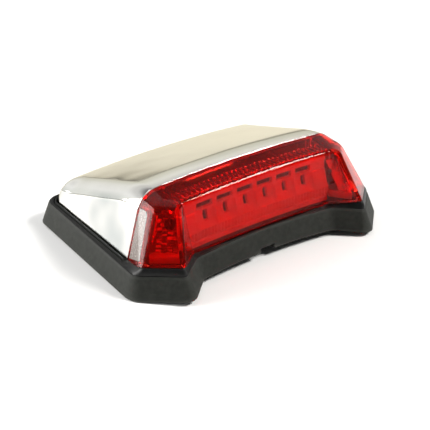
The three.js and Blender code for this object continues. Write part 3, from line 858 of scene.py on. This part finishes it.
# (y, z) outline of a side window, and a point in its middle
WINDOW_OUTLINE = ((32.5, 11.3), (32.5, 32.9), (28.3, 32.9), (27.1, 32.2), (26.6, 31.2), (22.0, 15.1))
WINDOW_MIDDLE = (29.5, 23.5)


def window_bar(sign, shrink):
    """A bar across one side of the lens with the outline of the window, made smaller by shrink."""
    points = []
    for y, z in WINDOW_OUTLINE:
        nearer_y = y - math.copysign(shrink, y - WINDOW_MIDDLE[0])
        nearer_z = z - math.copysign(shrink, z - WINDOW_MIDDLE[1])
        points += [(sign * x, nearer_y, nearer_z) for x in np.linspace(44, 75, 12)]
    return hull("window", points)


RIB_OUTLINE = ((20.8, 34.6), (23.6, 33.5), (28.0, 33.2), (28.0, 36.0), (20.8, 35.4))
RIB_PITCH = 2.5
RIB_HALF_WIDTH = 0.5
WINDOW_GAP = 0.15


def red_lens():
    """The hollow lens with ribs under its top, cut to its seat and for its two windows."""
    body = lens_body("red_lens_shell", 0.0, LENS_BACK, 5.0)
    combine(body, [lens_body("hollow", LENS_SKIN, LENS_BACK + 4, 3.0)], "DIFFERENCE")
    ribs = []
    for x in np.arange(-41.25, 41.3, RIB_PITCH):
        sides = (x - RIB_HALF_WIDTH, x + RIB_HALF_WIDTH)
        ribs.append(hull("rib", [(side, y, z) for side in sides for y, z in RIB_OUTLINE]))
    combine(body, [join_loose("ribs", ribs)], "UNION")
    combine(body, shoulder_cutters(0.3), "DIFFERENCE")
    combine(body, [window_bar(1, 0), window_bar(-1, 0)], "DIFFERENCE")
    shade(body, 30)
    return dress(body, RED_LENS, "red_plastic", "red_lens")


def clear_window(name, sign):
    pane = lens_body(name + "_pane", 0.0, LENS_BACK, 5.0)
    combine(pane, [lens_body("hollow", LENS_SKIN, LENS_BACK + 4, 3.0)], "DIFFERENCE")
    combine(pane, [window_bar(sign, WINDOW_GAP)], "INTERSECT")
    shade(pane, 30)
    return dress(pane, CLEAR_LENS, "clear_plastic", name)


# ---------------------------------------------------------------- lamp
LED_PLACES = [(i - (LED_COUNT - 1) / 2) * LED_PITCH for i in range(LED_COUNT)]
REFLECTOR_HALF = 40.5
REFLECTOR_SKIN = 1.7
SCOOP_HIGH, SCOOP_LOW = 26.4, 18.0
FLUTE_PITCH = 1.8
LEDGE_TOP = 13.8
# (half width, low, high, shift along X) of the openings in front of each lamp: its window and the stem below
OPENINGS = ((4.3, 27.1, 30.1, 0.0), (1.15, 20.6, 25.6, 0.6))


def reflector_face(x, z):
    """y of the reflector's surface: a plane with lamp windows, dished scoops, a fluted band and a ledge."""
    if z > 30.8:
        return 23.0
    if z > SCOOP_HIGH:
        return 23.6
    if z > SCOOP_LOW:
        nearest = min(LED_PLACES, key=lambda led_x: abs(led_x - x))
        across = min(1.0, abs(x - nearest) / (LED_PITCH / 2))
        fall = (SCOOP_HIGH - z) / (SCOOP_HIGH - SCOOP_LOW)
        dish = 1.3 * (1 - across**2) * math.sin(math.pi * fall**0.8)
        return 23.6 - 2.6 * fall**1.3 + dish - 0.6 * across**8
    if z > LEDGE_TOP:
        return 20.8 + 1.6 * abs((x / FLUTE_PITCH) % 1 - 0.5)
    return 19.9


def main_reflector():
    """The bright trim in front of the row of lamps, with its top lip bent back."""
    outer, inner = [], []
    heights = [11.6, 12.6, LEDGE_TOP - 0.05, LEDGE_TOP + 0.05, 15, 16.5, 17.95]
    heights += list(np.arange(18.05, SCOOP_HIGH, 0.4)) + [26.45, 28, 29.5, 30.75, 30.85, 32, 33.2]
    for z in heights:
        row = [(x, reflector_face(x, z), z) for x in np.arange(REFLECTOR_HALF, -REFLECTOR_HALF - 0.01, -0.3)]
        outer.append(row)
        inner.append([(x, y + REFLECTOR_SKIN, z) for x, y, _ in row])
    outer.append([(x, 24.4, 33.6) for x, _, _ in outer[0]])
    inner.append([(x, 24.9, 32.4) for x, _, _ in outer[0]])
    body = shell("lamp_reflector", outer, inner)
    openings = []
    for x in LED_PLACES:
        for half, low, high, beside in OPENINGS:
            corners = [(x + beside + a * half, y, z) for a in (-1, 1) for y in (18, 28) for z in (low, high)]
            openings.append(hull("opening", corners))
    combine(body, [join_loose("openings", openings)], "DIFFERENCE")
    shade(body, 50)
    return dress(body, SILVERED, "reflector_coating", "main_reflector")


END_NORMAL = Vector((0.610, -0.642, 0.465)).normalized()
END_ACROSS = Vector((0.63, 0.60, 0)).normalized()
END_UP = END_NORMAL.cross(END_ACROSS).normalized()
END_MIDDLE = Vector((47.4, 18.3, 20.6))
FACET = (2.4, 1.8)
MIRROR_LOW, MIRROR_HIGH = -6.4, 12.4
MIRROR_REACH = 10.0
MIRROR_DEPTH = 2.6
NOTCH_CLEARANCE = 3.3
HOLE_PLACE = (1.6, 6.6)
HOLE_RADIUS = 2.5
SHELF_LOW, SHELF_HIGH = 12.6, 16.0
SHELF_OUTLINE = ((41.5, 20.2), (48.6, 12.0), (58.0, 20.9), (54.5, 24.6), (43.5, 24.4))
CHEEK_LOW, CHEEK_HIGH = 15.0, 31.5


def facet_depth(u, v, flats):
    """Relief of the faceted reflector: tilted flats of different depth with fine steps between them."""
    i, j = math.floor(u / FACET[0]), math.floor(v / FACET[1])
    a, b = u / FACET[0] - i - 0.5, v / FACET[1] - j - 0.5
    base, tilt_u, tilt_v = flats[(i * 7 + j * 13) % len(flats)]
    return base + tilt_u * a + tilt_v * b - 0.25 * (a * a + b * b)


def end_reflector(name, sign):
    """The faceted mirror behind a foot of the lens, with a lamp hole, a shelf below and a cheek beside it."""
    flats = np.random.default_rng(7).uniform(-1, 1, (61, 3)) * (0.45, 1.2, 1.1)
    notch = Vector((*lens_corner("notch", LENS_FOOT)[:2], LENS_FOOT))
    away = -Vector(NOTCH_NORMAL).normalized()
    outer, inner = [], []
    for v in np.linspace(MIRROR_LOW, MIRROR_HIGH, 76):
        front_row, back_row = [], []
        middle = END_MIDDLE + END_UP * v
        near = NOTCH_CLEARANCE - (middle - notch).dot(away)
        far = MIRROR_REACH * lerp(1.0, 0.55, max(0.0, v) / MIRROR_HIGH)
        for u in np.linspace(near, far, 56):
            p = middle + END_ACROSS * u
            front = p + END_NORMAL * facet_depth(u, v, flats)
            back = p - END_NORMAL * MIRROR_DEPTH
            front_row.append((sign * front.x, front.y, front.z))
            back_row.append((sign * back.x, back.y, back.z))
        outer.append(front_row)
        inner.append(back_row)
    body = shell(name + "_mirror", outer, inner)
    shelf = hull("shelf", [(sign * x, y, z) for x, y in SHELF_OUTLINE for z in (SHELF_LOW, SHELF_HIGH)])
    cheek = []
    for z in (CHEEK_LOW, CHEEK_HIGH):
        side = 55.1 - 0.27 * (z - CHEEK_LOW)
        cheek += [(sign * (side + out), y, z) for out in (0, 0.6) for y in (24.0, 33.2)]
    combine(body, [shelf, hull("cheek", cheek)], "UNION")
    centre = END_MIDDLE + END_UP * HOLE_PLACE[1] + END_ACROSS * HOLE_PLACE[0]
    rim = []
    for k in range(24):
        turn = 2 * math.pi * k / 24
        edge = centre + (END_ACROSS * math.cos(turn) + END_UP * math.sin(turn)) * HOLE_RADIUS
        for along in (-6, 6):
            p = edge + END_NORMAL * along
            rim.append((sign * p.x, p.y, p.z))
    combine(body, [hull("hole", rim)], "DIFFERENCE")
    shade(body, 24)
    dress(body, FACETED, "reflector_coating", name)
    body.data.materials.append(SILVERED)
    for polygon in body.data.polygons:
        corners = [body.data.vertices[i].co for i in polygon.vertices]
        highest = max(c.z / MM - arch(c.x / MM) for c in corners)
        polygon.material_index = int(highest < SHELF_HIGH + 0.05)
    return body


# ---------------------------------------------------------------- camera, light and floor
CAMERA_PLACE = (-0.3347, -0.4507, 0.3084)
CAMERA_TURN = (-36.62, 28.41, -0.19)  # degrees: azimuth, how far it looks down, roll
SENSOR_WIDTH = 36.0
FOCAL_RATIO = 1369.8 / 430  # focal length over sensor width


def camera():
    data = bpy.data.cameras.new("camera")
    data.sensor_width = SENSOR_WIDTH
    data.lens = FOCAL_RATIO * SENSOR_WIDTH
    data.clip_start = 0.01
    data.clip_end = 50
    azimuth, elevation, roll = (math.radians(angle) for angle in CAMERA_TURN)
    level, drop = math.cos(elevation), math.sin(elevation)
    right = Vector((math.cos(azimuth), math.sin(azimuth), 0))
    ahead = Vector((-math.sin(azimuth) * level, math.cos(azimuth) * level, -drop))
    up = right.cross(ahead)
    r = right * math.cos(roll) + up * math.sin(roll)
    u = up * math.cos(roll) - right * math.sin(roll)
    turn = Matrix((r, u, -ahead)).transposed().to_4x4()
    obj = linked("camera", data)
    obj.matrix_world = Matrix.Translation(CAMERA_PLACE) @ turn
    bpy.context.scene.camera = obj


LIT_POINT = Vector((0, 0, 0.02))


def soft_light(name, place_at, size, power, colour=(1, 1, 1)):
    data = bpy.data.lights.new(name, "AREA")
    data.shape = "RECTANGLE"
    data.size, data.size_y = size
    data.energy = power
    data.color = colour
    obj = linked(name, data)
    obj.location = place_at
    obj.rotation_euler = (LIT_POINT - Vector(place_at)).to_track_quat("-Z", "Y").to_euler()


# (position from straight down to straight up, colour) of the surroundings, with a dark line at the horizon
SURROUNDINGS = [
    (0.0, (0.9, 0.9, 0.88)), (0.50, (0.9, 0.9, 0.88)), (0.5015, (0.2, 0.22, 0.2)), (0.506, (0.2, 0.22, 0.2)),
    (0.511, (0.86, 0.87, 0.84)), (0.56, (0.88, 0.90, 0.87)), (0.62, (0.95, 0.96, 0.95)),
    (0.70, (0.7, 0.7, 0.69)), (0.78, (0.16, 0.16, 0.17)), (1.0, (0.2, 0.2, 0.2)),
]
DARK_SIDE = (0.05, 0.05, 0.052)
BRIGHT_WAY = (0.2, 0.98, 0.0)
FLOOR_HALF, FLOOR_STEPS = 4.0, 8


def surroundings():
    """World light: a soft horizon behind the object, and darkness in front of it."""
    world = bpy.data.worlds.new("studio")
    world.use_nodes = True
    bpy.context.scene.world = world
    tree = world.node_tree
    background = tree.nodes["Background"]
    coordinates = tree.nodes.new("ShaderNodeTexCoord")
    parts = tree.nodes.new("ShaderNodeSeparateXYZ")
    tree.links.new(coordinates.outputs["Generated"], parts.inputs[0])
    ramp = tree.nodes.new("ShaderNodeValToRGB")
    ramp.color_ramp.interpolation = "EASE"
    elements = ramp.color_ramp.elements
    for element, (position, colour) in zip(elements, (SURROUNDINGS[0], SURROUNDINGS[-1])):
        element.position, element.color = position, (*colour, 1)
    for position, colour in SURROUNDINGS[1:-1]:
        element = elements.new(position)
        element.color = (*colour, 1)
    tree.links.new(ranged(tree, parts.outputs["Z"], 0, 1, -1, 1), ramp.inputs["Fac"])
    turn = tree.nodes.new("ShaderNodeVectorMath")
    turn.operation = "DOT_PRODUCT"
    turn.inputs[1].default_value = BRIGHT_WAY
    tree.links.new(coordinates.outputs["Generated"], turn.inputs[0])
    share = ranged(tree, turn.outputs["Value"], 0, 1, -0.5, 0.3)
    tree.links.new(blended(tree, share, DARK_SIDE, ramp.outputs["Color"]), background.inputs["Color"])
    background.inputs["Strength"].default_value = 1.0


def studio():
    surroundings()
    soft_light("overhead", (-0.3, 1.0, 1.9), (2.0, 2.0), 14)
    soft_light("right_front", (0.72, -0.62, 0.95), (0.45, 0.26), 21, (1, 0.98, 0.95))
    soft_light("left_back", (-1.7, 1.35, 0.7), (1.8, 1.2), 80, (1, 0.99, 0.97))
    ticks = np.linspace(-FLOOR_HALF, FLOOR_HALF, FLOOR_STEPS + 1)
    points = [(x, y, 0) for y in ticks for x in ticks]
    faces = []
    for row in range(FLOOR_STEPS):
        for column in range(FLOOR_STEPS):
            a = row * (FLOOR_STEPS + 1) + column
            faces.append((a, a + 1, a + FLOOR_STEPS + 2, a + FLOOR_STEPS + 1))
    floor = add_object("floor", points, faces)
    floor.data.materials.append(FLOOR)


# ---------------------------------------------------------------- the scene
bpy.context.scene.view_settings.view_transform = "Standard"
camera()
studio()
rubber_base()
housing()
red_lens()
clear_window("left_clear_window", -1)
clear_window("right_clear_window", 1)
main_reflector()
end_reflector("left_end_reflector", -1)
end_reflector("right_end_reflector", 1)

CARRIED = {
    "back_plate": BLACK_PLASTIC,
    "lens_seal": SOFT_SEAL,
    "circuit_board": BOARD,
    "left_side_board": BOARD,
    "right_side_board": BOARD,
    "polarity_diode": COMPONENT,
    "left_end_led": LED_BODY,
    "right_end_led": LED_BODY,
    "left_window_led": WHITE_LED,
    "right_window_led": WHITE_LED,
    "left_board_screw": STEEL,
    "right_board_screw": STEEL,
    "left_threaded_insert": BRASS,
    "right_threaded_insert": BRASS,
    "cable_grommet": SOFT_SEAL,
    "vent_plug": SOFT_SEAL,
}
CARRIED.update({f"led_{i}": LED_BODY for i in range(1, 7)})
CARRIED.update({f"resistor_{i}": COMPONENT for i in range(1, 5)})
CARRIED.update({f"housing_screw_{i}": STEEL for i in range(1, 5)})
for name, material in CARRIED.items():
    nodes[name].data.materials.clear()
    nodes[name].data.materials.append(material)
    rounding = nodes[name].modifiers.new("rounding", "BEVEL")
    rounding.width = 0.00015
    rounding.segments = 2
    rounding.limit_method = "ANGLE"
    rounding.angle_limit = math.radians(50)
